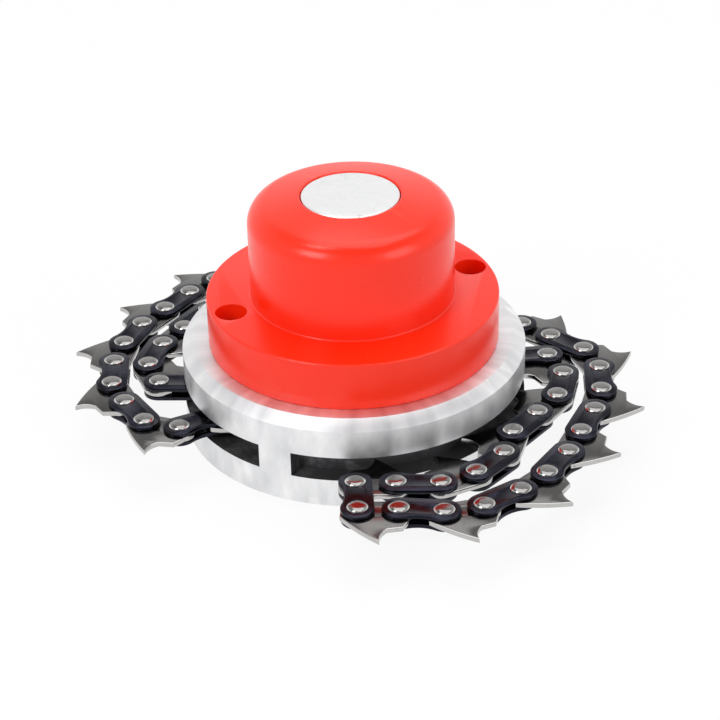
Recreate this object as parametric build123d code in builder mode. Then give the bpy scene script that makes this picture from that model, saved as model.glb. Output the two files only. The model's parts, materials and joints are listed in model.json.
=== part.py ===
from build123d import *
from math import acos, asin, atan2, cos, hypot, radians, sin, sqrt
import os

# A chain-type cutting head for an angle grinder. Two aluminium discs trap two closed loops of
# toothed saw chain, each hooked round a post. A hub takes the grinder's spindle from below,
# and a domed guide cap covers the nut that clamps the discs. The origin is the centre of the
# hub's seating face and +Z runs up through the cap. All sizes are in millimetres and degrees.

# Discs
disc_radius = 41.0
disc_thickness = 12.0
chamfer_width = 2.85
chamfer_height = 2.0
slot_clearance = 0.68
groove_depth = 5.0
rib_width = 8.2
rib_angle = 44.4
pocket_corner = 4.0
pocket_margin = 0.5

# Hub, key, nut and washer
spindle_radius = 6.0
spindle_depth = 20.0
hub_flange_radius = 17.0
hub_flange_thickness = 4.0
hub_radius = 13.0
hub_thread_radius = 12.0
hub_thread_length = 10.0
hub_end_radius = 11.5
hub_end_chamfer = 0.4
key_width = 4.0
key_height = 4.0
key_length = 16.0
washer_thickness = 1.5
washer_margin = 0.68
washer_room = 1.5
nut_across_flats = 30.0
nut_thickness = 7.0
nut_chamfer = 1.0

# Guide cap
flange_radius = 34.6
flange_thickness = 11.6
flange_edge = 0.4
dome_height = 25.0
dome_shoulder = 5.2
crown_width = 12.0
crown_drop = 2.3
cap_wall = 4.6
cap_roof = 4.2
cap_bore_gap = 0.2

# Screws and posts
exit_angle = 18.4
cap_screw_inset = 4.7
cap_screw_radius = 2.0
cap_screw_length = 7.0
cap_screw_head_radius = 3.5
cap_screw_head_height = 4.0
cap_screw_sink = 4.8
cap_screw_socket = 3.0
head_gap = 0.25
disc_screw_inset = 13.0
disc_screw_spread = 22.0
disc_screw_radius = 2.5
disc_screw_length = 14.0
disc_screw_head_radius = 4.25
disc_screw_head_height = 5.0
disc_screw_socket = 4.0
post_inset = 6.0
post_radius = 3.0
post_seat = 4.0
fit_gap = 0.05

# Chain: straps are the side plates, cutters are the toothed centre links
strap_pitch = 10.0
cutter_pitch = 9.05
cutter_thickness = 1.2
strap_thickness = 1.05
plate_gap = 0.1
strap_end_radius = 3.8
strap_waist = 2.7
cutter_end_radius = 3.8
toe_angle = 50.0
ledge_lead = 1.0
ledge_height = 5.9
gullet_lead = 2.1
gullet_height = 6.5
hook_lead = 0.75
hook_height = 8.4
tooth_lead = 0.4
tooth_height = 10.9
back_lag = 4.0
back_height = 7.0
heel_reach = 3.9
heel_height = 1.9
rivet_radius = 1.8
rivet_head_radius = 2.375
rivet_head_height = 0.6
rivet_gap = 0.02
pivot_clearance = 0.05
tip_clearance = 0.2
post_clearance = 0.35

# How each loop lies at rest. The headings are those of the first free link of each run, from
# the exit line. The runs list how far each rivet stands out from the rim, from slot to tip.
loops = {
    "right": {
        "turn": 0.0,
        "outer_heading": -14.9,
        "inner_heading": -12.9,
        "outer_run": [9.5, 15.5, 18.0, 18.5, 18.5, 18.5, 20.0, 21.5, 22.5, 23.0, 21.5, 18.0],
        "inner_run": [9.2, 8.6, 6.2, 5.0, 9.0, 11.0, 11.0, 8.0, 7.0],
    },
    "left": {
        "turn": 180.0,
        "outer_heading": 6.6,
        "inner_heading": -20.9,
        "outer_run": [12.5, 15.0, 17.5, 18.0, 18.0, 17.5, 16.5, 17.0, 17.5, 18.0, 17.5, 17.0],
        "inner_run": [9.5, 8.5, 7.0, 7.0, 7.5, 8.0, 8.0, 7.5, 7.0],
    },
}

# Heights and distances that follow from the sizes above
parting_z = disc_thickness
discs_top_z = 2 * disc_thickness
washer_radius = nut_across_flats / sqrt(3) + washer_margin
dome_room_radius = washer_radius + washer_room
dome_radius = dome_room_radius + cap_wall
flange_top_z = discs_top_z + flange_thickness
cap_top_z = flange_top_z + dome_height
post_distance = disc_radius - post_inset
cap_screw_distance = flange_radius - cap_screw_inset
cap_screw_seat_z = flange_top_z - cap_screw_sink - cap_screw_head_height
strap_bottom = cutter_thickness / 2 + plate_gap
strap_top = strap_bottom + strap_thickness
slot_depth = strap_top + rivet_gap + rivet_head_height + slot_clearance
disc_screw_distance = disc_radius - disc_screw_inset
post_offset = post_radius + post_clearance + strap_end_radius
pocket_start = post_distance - post_offset - hypot(heel_reach, heel_height) - pocket_margin

# The anchor strap lies behind the post; the cutters at its ends lean until they just pass it.
anchor_half = strap_pitch / 2
anchor_lean = asin(post_offset / hypot(post_offset, anchor_half)) - atan2(anchor_half, post_offset)
anchor_tooth_reach = anchor_half + cutter_pitch / 2 * sin(anchor_lean) + tooth_height * cos(anchor_lean)
pocket_half_width = anchor_tooth_reach + pocket_margin
post_angles = [exit_angle, exit_angle + 180]
disc_screw_angles = [
    exit_angle + side + spread for side in (90, 270) for spread in (-disc_screw_spread, disc_screw_spread)
]

os.makedirs("parts", exist_ok=True)


def finish(builder, label):
    # Name a finished piece and write it.
    builder.part.label = label
    export_step(builder.part, f"parts/{label}.step")


def spots(distance, angles):
    # Points at one distance from the axis, one for each angle.
    return [(distance * cos(radians(a)), distance * sin(radians(a))) for a in angles]


# ---------------------------------------------------------------- discs


def cut_chain_room(face_z, direction):
    # The groove behind the rim, left solid at two ribs, and the pocket round each post.
    with BuildSketch(Plane.XY.offset(face_z)) as groove:
        Circle(disc_radius + pocket_margin)
        Circle(disc_radius - groove_depth, mode=Mode.SUBTRACT)
        with PolarLocations(0, 2, start_angle=exit_angle + rib_angle):
            Rectangle(2 * disc_radius, rib_width, align=(Align.MIN, Align.CENTER), mode=Mode.SUBTRACT)
    extrude(groove.sketch, amount=slot_depth * direction, mode=Mode.SUBTRACT)
    with BuildSketch(Plane.XY.offset(face_z)) as pockets:
        with PolarLocations(pocket_start, 2, start_angle=exit_angle):
            RectangleRounded(
                2 * (disc_radius - pocket_start), 2 * pocket_half_width, pocket_corner,
                align=(Align.MIN, Align.CENTER),
            )
    extrude(pockets.sketch, amount=slot_depth * direction, mode=Mode.SUBTRACT)


def cut_holes(distance, angles, radius, z, depth, direction):
    # Round holes on one circle, cut from the height z.
    with BuildSketch(Plane.XY.offset(z)) as holes:
        with Locations(*spots(distance, angles)):
            Circle(radius)
    extrude(holes.sketch, amount=depth * direction, mode=Mode.SUBTRACT)


def cut_hub_bore(bottom_z):
    # The bore for the hub and the keyway beside it.
    with BuildSketch(Plane.XY.offset(bottom_z)) as bore:
        Circle(hub_radius + fit_gap)
        with Locations((hub_radius, 0)):
            Rectangle(key_height + 2 * fit_gap, key_width + 2 * fit_gap)
    extrude(bore.sketch, amount=disc_thickness, mode=Mode.SUBTRACT)


with BuildPart() as upper_disc:
    with BuildSketch(Plane.XY.offset(parting_z)):
        Circle(disc_radius)
    extrude(amount=disc_thickness)
    rim = upper_disc.edges().filter_by(GeomType.CIRCLE).sort_by(Axis.Z)[-1]
    top = upper_disc.faces().sort_by(Axis.Z)[-1]
    chamfer(rim, length=chamfer_width, length2=chamfer_height, reference=top)
    cut_chain_room(parting_z, 1)
    cut_hub_bore(parting_z)
    cut_holes(post_distance, post_angles, post_radius + fit_gap, parting_z, slot_depth + post_seat, 1)
    cut_holes(
        cap_screw_distance, post_angles, cap_screw_radius + fit_gap, discs_top_z,
        discs_top_z - cap_screw_seat_z + cap_screw_length + fit_gap, -1,
    )
    disc_screw_reach = disc_screw_head_height + head_gap + disc_screw_length - parting_z + fit_gap
    cut_holes(
        disc_screw_distance, disc_screw_angles, disc_screw_radius + fit_gap, parting_z, disc_screw_reach, 1
    )
finish(upper_disc, "upper_disc")

with BuildPart() as lower_disc:
    with BuildSketch(Plane.XY):
        Circle(disc_radius)
    extrude(amount=disc_thickness)
    rim = lower_disc.edges().filter_by(GeomType.CIRCLE).sort_by(Axis.Z)[0]
    bottom = lower_disc.faces().sort_by(Axis.Z)[0]
    chamfer(rim, length=chamfer_width, length2=chamfer_height, reference=bottom)
    cut_chain_room(parting_z, -1)
    cut_hub_bore(0)
    with BuildSketch(Plane.XY):
        Circle(hub_flange_radius + fit_gap)
    extrude(amount=hub_flange_thickness, mode=Mode.SUBTRACT)
    cut_holes(post_distance, post_angles, post_radius + fit_gap, parting_z, slot_depth + post_seat, -1)
    cut_holes(
        disc_screw_distance, disc_screw_angles, disc_screw_head_radius + head_gap, 0,
        disc_screw_head_height + head_gap, 1,
    )
    cut_holes(disc_screw_distance, disc_screw_angles, disc_screw_radius + fit_gap, 0, disc_thickness, 1)
finish(lower_disc, "lower_disc")

# ---------------------------------------------------------------- hub and what clamps it

with BuildPart() as drive_hub:
    with BuildSketch(Plane.XY):
        Circle(hub_flange_radius)
    extrude(amount=hub_flange_thickness)
    with BuildSketch(Plane.XY):
        Circle(hub_radius)
    extrude(amount=discs_top_z)
    with BuildSketch(Plane.XY.offset(discs_top_z)):
        Circle(hub_thread_radius)
    extrude(amount=hub_thread_length)
    with BuildSketch(Plane.XY.offset(discs_top_z)):
        Circle(hub_end_radius)
    extrude(amount=cap_top_z - discs_top_z)
    chamfer(drive_hub.edges().sort_by(Axis.Z)[-1], length=hub_end_chamfer)
    with BuildSketch(Plane.XY):
        Circle(spindle_radius)
    extrude(amount=spindle_depth, mode=Mode.SUBTRACT)
    with BuildSketch(Plane.XY.offset(hub_flange_thickness)):
        with Locations((hub_radius, 0)):
            Rectangle(key_height + 2 * fit_gap, key_width + 2 * fit_gap)
    extrude(amount=disc_thickness * 2 - hub_flange_thickness, mode=Mode.SUBTRACT)
finish(drive_hub, "drive_hub")

with BuildPart() as hub_key:
    with BuildSketch(Plane.XY.offset(hub_flange_thickness + fit_gap)):
        with Locations((hub_radius, 0)):
            Rectangle(key_height, key_width)
    extrude(amount=key_length)
finish(hub_key, "hub_key")

with BuildPart() as hub_washer:
    with BuildSketch(Plane.XY.offset(discs_top_z)):
        Circle(washer_radius)
        Circle(hub_thread_radius + fit_gap, mode=Mode.SUBTRACT)
    extrude(amount=washer_thickness)
finish(hub_washer, "hub_washer")

with BuildPart() as hub_nut:
    nut_z = discs_top_z + washer_thickness
    with BuildSketch(Plane.XY.offset(nut_z)):
        Circle(nut_across_flats / sqrt(3))
    extrude(amount=nut_thickness)
    chamfer(hub_nut.edges(), length=nut_chamfer)
    with BuildSketch(Plane.XY.offset(nut_z)):
        RegularPolygon(nut_across_flats / 2, 6, major_radius=False)
    extrude(amount=nut_thickness, mode=Mode.INTERSECT)
    with BuildSketch(Plane.XY.offset(nut_z)):
        Circle(hub_thread_radius + fit_gap)
    extrude(amount=nut_thickness, mode=Mode.SUBTRACT)
finish(hub_nut, "hub_nut")

# ---------------------------------------------------------------- guide cap

with BuildPart() as guide_cap:
    with BuildSketch(Plane.XY.offset(discs_top_z)):
        Circle(flange_radius)
    extrude(amount=flange_thickness)
    fillet(guide_cap.edges().filter_by(GeomType.CIRCLE).sort_by(Axis.Z)[-1], radius=flange_edge)
    with BuildSketch(Plane.XY.offset(discs_top_z)):
        Circle(dome_radius)
    extrude(amount=cap_top_z - discs_top_z)
    rim = guide_cap.edges().filter_by(GeomType.CIRCLE).sort_by(Axis.Z)[-1]
    top = guide_cap.faces().sort_by(Axis.Z)[-1]
    chamfer(rim, length=crown_width, length2=crown_drop, reference=top)
    crown_edges = guide_cap.edges().filter_by(GeomType.CIRCLE).group_by(Axis.Z)[-2]
    fillet(crown_edges, radius=dome_shoulder)
    with BuildSketch(Plane.XY.offset(discs_top_z)):
        Circle(dome_room_radius)
    extrude(amount=cap_top_z - cap_roof - discs_top_z, mode=Mode.SUBTRACT)
    with BuildSketch(Plane.XY.offset(discs_top_z)):
        Circle(hub_end_radius + cap_bore_gap)
    extrude(amount=cap_top_z - discs_top_z, mode=Mode.SUBTRACT)
    cut_holes(
        cap_screw_distance, post_angles, cap_screw_head_radius + head_gap, flange_top_z,
        flange_top_z - cap_screw_seat_z, -1,
    )
    cut_holes(
        cap_screw_distance, post_angles, cap_screw_radius + fit_gap, flange_top_z, flange_thickness, -1
    )
finish(guide_cap, "guide_cap")

# ---------------------------------------------------------------- screws and posts


def add_screws(distance, angles, seat_z, down, radius, length, head_radius, head_height, socket):
    # Socket screws: shanks run from the seat in the direction down, heads the other way.
    with BuildSketch(Plane.XY.offset(seat_z)) as shanks:
        with Locations(*spots(distance, angles)):
            Circle(radius)
    extrude(shanks.sketch, amount=length * down)
    with BuildSketch(Plane.XY.offset(seat_z)) as heads:
        with Locations(*spots(distance, angles)):
            Circle(head_radius)
    extrude(heads.sketch, amount=-head_height * down)
    with BuildSketch(Plane.XY.offset(seat_z - head_height * down)) as sockets:
        with Locations(*spots(distance, angles)):
            RegularPolygon(socket / 2, 6, major_radius=False)
    extrude(sockets.sketch, amount=head_height / 2 * down, mode=Mode.SUBTRACT)


with BuildPart() as cap_screws:
    add_screws(
        cap_screw_distance, post_angles, cap_screw_seat_z, -1, cap_screw_radius, cap_screw_length,
        cap_screw_head_radius, cap_screw_head_height, cap_screw_socket,
    )
finish(cap_screws, "cap_screws")

with BuildPart() as disc_screws:
    add_screws(
        disc_screw_distance, disc_screw_angles, disc_screw_head_height + head_gap, 1, disc_screw_radius,
        disc_screw_length, disc_screw_head_radius, disc_screw_head_height, disc_screw_socket,
    )
finish(disc_screws, "disc_screws")

with BuildPart() as chain_posts:
    with BuildSketch(Plane.XY.offset(parting_z - slot_depth - post_seat + fit_gap)):
        with Locations(*spots(post_distance, post_angles)):
            Circle(post_radius)
    extrude(amount=2 * (slot_depth + post_seat - fit_gap))
finish(chain_posts, "chain_posts")

# ---------------------------------------------------------------- where the rivets stand


def step_on(start, distance, pitch):
    # The next rivet clockwise: a given distance from the axis, one pitch from the last rivet.
    last = hypot(*start)
    turn = acos((last**2 + distance**2 - pitch**2) / (2 * last * distance))
    angle = atan2(start[1], start[0]) - turn
    return (distance * cos(angle), distance * sin(angle))


def anchor_rivets():
    # The four rivets round a post on the exit line, from the outer run's side to the inner's.
    # A strap lies across behind the post and a cutter leans past it on each side.
    half = anchor_half
    back = post_distance - post_offset
    side = (back + cutter_pitch * cos(anchor_lean), half + cutter_pitch * sin(anchor_lean))
    flat = [side, (back, half), (back, -half), (side[0], -side[1])]
    c, s = cos(radians(exit_angle)), sin(radians(exit_angle))
    return [(x * c - y * s, x * s + y * c) for x, y in flat]


def first_free(start, heading):
    # The rivet at the far end of a strap that leaves the anchor at a heading.
    angle = radians(exit_angle + heading)
    return (start[0] + strap_pitch * cos(angle), start[1] + strap_pitch * sin(angle))


def run_rivets(start, stand_offs):
    # A run of rivets from the slot to the tip, cutters and straps by turns.
    rivets = [start]
    for index, stand_off in enumerate(stand_offs):
        pitch = strap_pitch if index % 2 else cutter_pitch
        rivets.append(step_on(rivets[-1], disc_radius + stand_off, pitch))
    return rivets


def tip_rivet(outer_end, inner_end):
    # The rivet that closes the loop: a cutter from the outer end, a strap from the inner end.
    dx, dy = inner_end[0] - outer_end[0], inner_end[1] - outer_end[1]
    gap = hypot(dx, dy)
    along = (gap**2 + cutter_pitch**2 - strap_pitch**2) / (2 * gap)
    aside = sqrt(cutter_pitch**2 - along**2)
    return (
        outer_end[0] + (along * dx - aside * dy) / gap,
        outer_end[1] + (along * dy + aside * dx) / gap,
    )


def loop_rivets(shape):
    # All rivets of a loop in order: tip, outer run inwards, anchor, inner run outwards.
    anchor = anchor_rivets()
    outer = run_rivets(first_free(anchor[0], shape["outer_heading"]), shape["outer_run"])
    inner = run_rivets(first_free(anchor[-1], shape["inner_heading"]), shape["inner_run"])
    rivets = [tip_rivet(outer[-1], inner[-1])] + outer[::-1] + anchor + inner
    c, s = cos(radians(shape["turn"])), sin(radians(shape["turn"]))
    return [(x * c - y * s, x * s + y * c) for x, y in rivets]


# ---------------------------------------------------------------- chain pieces


def link_plane(start, end):
    # A plane at mid height of the chain, centred on a link, with X from its start to its end.
    return Plane(
        origin=((start[0] + end[0]) / 2, (start[1] + end[1]) / 2, parting_z),
        x_dir=(end[0] - start[0], end[1] - start[1], 0),
        z_dir=(0, 0, 1),
    )


def strap_outline():
    # Two round ends, straight on one side and joined on the teeth's side by a hollow arc.
    half = strap_pitch / 2
    arc = (half**2 + strap_waist**2 - strap_end_radius**2) / (2 * (strap_end_radius - strap_waist))
    share = strap_end_radius / (strap_end_radius + arc)
    touch = (half * (1 - share), -(strap_waist + arc) * share)
    with BuildLine() as border:
        Line((-half, strap_end_radius), (half, strap_end_radius))
        ThreePointArc((half, strap_end_radius), (half + strap_end_radius, 0), touch)
        ThreePointArc(touch, (0, -strap_waist), (-touch[0], touch[1]))
        ThreePointArc((-touch[0], touch[1]), (-half - strap_end_radius, 0), (-half, strap_end_radius))
    make_face(border.edges())
    with Locations((-half, 0), (half, 0)):
        Circle(rivet_radius + rivet_gap, mode=Mode.SUBTRACT)


def add_rivets(plane, half):
    # Two rivets with domed heads, a shade clear of the plates they are swaged to.
    under = strap_top + rivet_gap
    edge = under + rivet_head_height / 4
    top = under + rivet_head_height
    dome = (rivet_head_radius**2 + (top - edge) ** 2) / (2 * (top - edge))
    middle = (rivet_head_radius / 2, top - dome + sqrt(dome**2 - rivet_head_radius**2 / 4))
    for side in (-half, half):
        centre = plane.from_local_coords((side, 0, 0))
        with BuildSketch(Plane(origin=centre, x_dir=plane.x_dir, z_dir=-plane.y_dir)) as profile:
            with BuildLine():
                Line((0, -top), (0, top))
                ThreePointArc((0, top), middle, (rivet_head_radius, edge))
                Polyline(
                    (rivet_head_radius, edge), (rivet_head_radius, under), (rivet_radius, under),
                    (rivet_radius, -under), (rivet_head_radius, -under), (rivet_head_radius, -edge),
                )
                ThreePointArc((rivet_head_radius, -edge), (middle[0], -middle[1]), (0, -top))
            make_face()
        revolve(profile.sketch, axis=Axis(centre, (0, 0, 1)))


def add_straps(start, end):
    # A pair of straps and the two rivets that join them.
    plane = link_plane(start, end)
    for level in (strap_bottom, -strap_top):
        with BuildSketch(plane.offset(level)) as outline:
            strap_outline()
        extrude(outline.sketch, amount=strap_thickness)
    add_rivets(plane, strap_pitch / 2)


def add_cutter(start, end, start_clearance):
    # A toothed centre link. The tooth stands on the loop's outer side, hooked towards the end.
    half = cutter_pitch / 2
    low = cutter_end_radius
    toe = (half + low * cos(radians(toe_angle)), -low * sin(radians(toe_angle)))
    gullet = (gullet_lead, -gullet_height)
    tip = (tooth_lead, -tooth_height)
    heel = (-half - heel_reach, -heel_height)
    corner = (-half - low * cos(radians(45)), low * sin(radians(45)))
    with BuildSketch(link_plane(start, end).offset(-cutter_thickness / 2)) as outline:
        with BuildLine():
            Line((-half, low), (half, low))
            ThreePointArc((half, low), (half + low, 0), toe)
            Polyline(toe, (half + ledge_lead, -ledge_height), gullet)
            ThreePointArc(gullet, (hook_lead, -hook_height), tip)
            ThreePointArc(tip, (-back_lag, -back_height), heel)
            Line(heel, (-half - low, 0))
            ThreePointArc((-half - low, 0), corner, (-half, low))
        make_face()
        with Locations((-half, 0)):
            Circle(rivet_radius + start_clearance, mode=Mode.SUBTRACT)
        with Locations((half, 0)):
            Circle(rivet_radius + pivot_clearance, mode=Mode.SUBTRACT)
    extrude(outline.sketch, amount=cutter_thickness)


for side, shape in loops.items():
    rivets = loop_rivets(shape)
    outer_end = len(shape["outer_run"]) + 1
    inner_start = outer_end + len(anchor_rivets())
    with BuildPart() as anchor_links:
        for index in range(outer_end, inner_start):
            if index % 2:
                add_straps(rivets[index], rivets[index + 1])
            else:
                add_cutter(rivets[index], rivets[index + 1], pivot_clearance)
    finish(anchor_links, f"{side}_anchor_links")

    for index in range(outer_end):
        place = (outer_end - index + 1) // 2
        with BuildPart() as link:
            if index % 2:
                add_straps(rivets[index], rivets[index + 1])
            else:
                add_cutter(rivets[index], rivets[index + 1], pivot_clearance if index else tip_clearance)
        finish(link, f"{side}_outer_{'strap' if index % 2 else 'cutter'}_{place}")

    for index in range(inner_start, len(rivets)):
        place = (index - inner_start) // 2 + 1
        with BuildPart() as link:
            if index % 2:
                add_straps(rivets[index], rivets[(index + 1) % len(rivets)])
            else:
                add_cutter(rivets[index], rivets[index + 1], pivot_clearance)
        is_tip = index == len(rivets) - 1
        finish(link, f"{side}_tip_strap" if is_tip else
               f"{side}_inner_{'strap' if index % 2 else 'cutter'}_{place}")
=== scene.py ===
import bpy
import json
from math import atan2, cos, degrees, hypot, pi, radians, sin, sqrt, tan
from mathutils import Matrix, Vector


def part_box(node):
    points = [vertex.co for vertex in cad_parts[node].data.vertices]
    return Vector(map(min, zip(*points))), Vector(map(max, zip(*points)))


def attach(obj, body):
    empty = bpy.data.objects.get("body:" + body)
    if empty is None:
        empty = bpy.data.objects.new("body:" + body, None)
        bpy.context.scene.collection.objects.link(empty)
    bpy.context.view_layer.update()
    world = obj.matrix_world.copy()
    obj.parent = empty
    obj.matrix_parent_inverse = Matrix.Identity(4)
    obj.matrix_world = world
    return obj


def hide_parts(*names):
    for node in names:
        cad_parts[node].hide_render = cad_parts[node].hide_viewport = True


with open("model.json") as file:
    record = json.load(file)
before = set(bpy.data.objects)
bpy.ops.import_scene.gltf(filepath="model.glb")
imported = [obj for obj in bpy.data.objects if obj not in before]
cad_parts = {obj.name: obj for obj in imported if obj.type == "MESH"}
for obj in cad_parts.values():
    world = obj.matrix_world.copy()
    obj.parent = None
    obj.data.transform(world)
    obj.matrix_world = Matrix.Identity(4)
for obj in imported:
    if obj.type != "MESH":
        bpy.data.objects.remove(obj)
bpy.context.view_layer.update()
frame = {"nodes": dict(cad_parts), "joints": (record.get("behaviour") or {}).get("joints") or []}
mm = 0.001
scene = bpy.context.scene
scene.view_settings.view_transform = "Standard"


# Heights and radii that the frame gives
def outerRadius(node):
    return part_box(node)[1].x


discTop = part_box("upper_disc")[1].z
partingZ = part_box("upper_disc")[0].z
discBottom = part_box("lower_disc")[0].z
discRadius = outerRadius("upper_disc")
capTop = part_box("guide_cap")[1].z
capRadius = outerRadius("guide_cap")


# Camera

shot = {
    "distance": 0.515,
    "elevation": radians(31.77),
    "roll": radians(-1.42),
    "lens": 106.4,
    "shift": (0.0074, 0.0196),
}


def placeCamera():
    # Looks at the middle of the discs from the front, leaning a little
    back = Vector((0, -cos(shot["elevation"]), sin(shot["elevation"])))
    bpy.ops.object.camera_add(location=Vector((0, 0, partingZ)) + back * shot["distance"])
    camera = bpy.context.object
    tilt = Matrix.Rotation(pi / 2 - shot["elevation"], 3, "X")
    camera.rotation_euler = (tilt @ Matrix.Rotation(shot["roll"], 3, "Z")).to_euler()
    camera.data.lens = shot["lens"]
    camera.data.shift_x, camera.data.shift_y = shot["shift"]
    camera.data.clip_start = 0.01
    scene.camera = camera


placeCamera()

# Studio

studio = {
    "floorSize": 6.0,
    "floorShadow": 0.10,
    "worldLight": 0.50,
    "horizon": (1.0, 1.0, 1.0),
    "zenith": (0.16, 0.16, 0.17),
    "lamps": [
        # name, place, size, watts
        ("keyLamp", (-0.72, -0.70, 0.72), 0.5, 4.1),
        ("topLamp", (0.1, 0.30, 1.1), 0.9, 5.0),
        ("sideLamp", (0.8, -0.6, 0.45), 0.6, 2.4),
        ("shineLamp", (-0.37, -0.10, 1.0), 0.25, 1.1),
    ],
}


def addNode(tree, kind, **settings):
    node = tree.nodes.new("ShaderNode" + kind)
    for name, value in settings.items():
        setattr(node, name, value)
    return node


def buildWorld():
    # White for the camera. Gloss sees a white horizon and a grey ceiling.
    world = bpy.data.worlds.new("studioWorld")
    scene.world = world
    world.use_nodes = True
    tree = world.node_tree
    tree.nodes.clear()
    out = addNode(tree, "OutputWorld")
    seen = addNode(tree, "Background")
    seen.inputs["Color"].default_value = (1, 1, 1, 1)
    light = addNode(tree, "Background")
    light.inputs["Color"].default_value = (1, 1, 1, 1)
    light.inputs["Strength"].default_value = studio["worldLight"]
    gloss = addNode(tree, "Background")
    place = addNode(tree, "TexCoord")
    split = addNode(tree, "SeparateXYZ")
    ramp = addNode(tree, "ValToRGB")
    ramp.color_ramp.elements[0].position = 0.45
    ramp.color_ramp.elements[0].color = studio["horizon"] + (1,)
    ramp.color_ramp.elements[1].position = 0.92
    ramp.color_ramp.elements[1].color = studio["zenith"] + (1,)
    rays = addNode(tree, "LightPath")
    glossMix = addNode(tree, "MixShader")
    cameraMix = addNode(tree, "MixShader")
    link = tree.links.new
    link(place.outputs["Generated"], split.inputs[0])
    link(split.outputs["Z"], ramp.inputs[0])
    link(ramp.outputs[0], gloss.inputs["Color"])
    link(rays.outputs["Is Glossy Ray"], glossMix.inputs[0])
    link(light.outputs[0], glossMix.inputs[1])
    link(gloss.outputs[0], glossMix.inputs[2])
    link(rays.outputs["Is Camera Ray"], cameraMix.inputs[0])
    link(glossMix.outputs[0], cameraMix.inputs[1])
    link(seen.outputs[0], cameraMix.inputs[2])
    link(cameraMix.outputs[0], out.inputs["Surface"])


def buildFloor():
    # A pale floor that shows white and keeps a faint shadow
    bpy.ops.mesh.primitive_plane_add(size=studio["floorSize"], location=(0, 0, discBottom))
    floor = bpy.context.object
    floor.name = "studioFloor"
    material = bpy.data.materials.new("floorPaint")
    material.use_nodes = True
    tree = material.node_tree
    tree.nodes.clear()
    out = addNode(tree, "OutputMaterial")
    matt = addNode(tree, "BsdfDiffuse")
    matt.inputs["Color"].default_value = (0.9, 0.9, 0.9, 1)
    glow = addNode(tree, "Emission")
    glow.inputs["Color"].default_value = (1, 1, 1, 1)
    rays = addNode(tree, "LightPath")
    either = addNode(tree, "Math", operation="ADD", use_clamp=True)
    share = addNode(tree, "Math", operation="MULTIPLY")
    share.inputs[1].default_value = 1 - studio["floorShadow"]
    mix = addNode(tree, "MixShader")
    link = tree.links.new
    link(rays.outputs["Is Camera Ray"], either.inputs[0])
    link(rays.outputs["Is Glossy Ray"], either.inputs[1])
    link(either.outputs[0], share.inputs[0])
    link(share.outputs[0], mix.inputs[0])
    link(matt.outputs[0], mix.inputs[1])
    link(glow.outputs[0], mix.inputs[2])
    link(mix.outputs[0], out.inputs["Surface"])
    floor.data.materials.append(material)


def hangLamps():
    for name, place, size, watts in studio["lamps"]:
        bpy.ops.object.light_add(type="AREA", location=place)
        lamp = bpy.context.object
        lamp.name = name
        lamp.data.size = size
        lamp.data.energy = watts
        aim = Vector((0, 0, partingZ)) - Vector(place)
        lamp.rotation_euler = aim.to_track_quat("-Z", "Y").to_euler()


buildWorld()
buildFloor()
hangLamps()
print("studio and camera placed")

# Node groups


def newGroup(name, inputs, outputs):
    # An empty shader group with its sockets, and its two ends
    group = bpy.data.node_groups.new(name, "ShaderNodeTree")
    for label, kind, value in inputs:
        socket = group.interface.new_socket(label, in_out="INPUT", socket_type=kind)
        if value is not None:
            socket.default_value = value
    for label, kind in outputs:
        group.interface.new_socket(label, in_out="OUTPUT", socket_type=kind)
    start = group.nodes.new("NodeGroupInput")
    end = group.nodes.new("NodeGroupOutput")
    return group, start, end


def maths(tree, operation, first, second=None, clamp=False):
    # One math node. A number is set on the socket, an output is linked to it.
    node = addNode(tree, "Math", operation=operation, use_clamp=clamp)
    for socket, value in zip(node.inputs, (first, second)):
        if isinstance(value, (int, float)):
            socket.default_value = value
        elif value is not None:
            tree.links.new(value, socket)
    return node.outputs[0]


def groupScuffs():
    # Soft blotches with finer scratches across them, 0 clean to 1 scuffed
    group, start, end = newGroup(
        "scuffs",
        [("Vector", "NodeSocketVector", None), ("Scale", "NodeSocketFloat", 200.0),
         ("Coverage", "NodeSocketFloat", 0.5)],
        [("Mask", "NodeSocketFloat")],
    )
    link = group.links.new
    blotch = addNode(group, "TexNoise")
    blotch.inputs["Detail"].default_value = 5.0
    blotch.inputs["Distortion"].default_value = 0.6
    fine = addNode(group, "TexNoise")
    fine.inputs["Detail"].default_value = 3.0
    link(start.outputs["Vector"], blotch.inputs["Vector"])
    link(start.outputs["Scale"], blotch.inputs["Scale"])
    link(start.outputs["Vector"], fine.inputs["Vector"])
    link(maths(group, "MULTIPLY", start.outputs["Scale"], 4.5), fine.inputs["Scale"])
    both = maths(group, "ADD", maths(group, "MULTIPLY", blotch.outputs[0], 0.7),
                 maths(group, "MULTIPLY", fine.outputs[0], 0.3))
    cut = maths(group, "SUBTRACT", both, maths(group, "SUBTRACT", 1.0, start.outputs["Coverage"]))
    link(maths(group, "MULTIPLY", cut, 6.0, clamp=True), end.inputs["Mask"])
    return group


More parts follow.
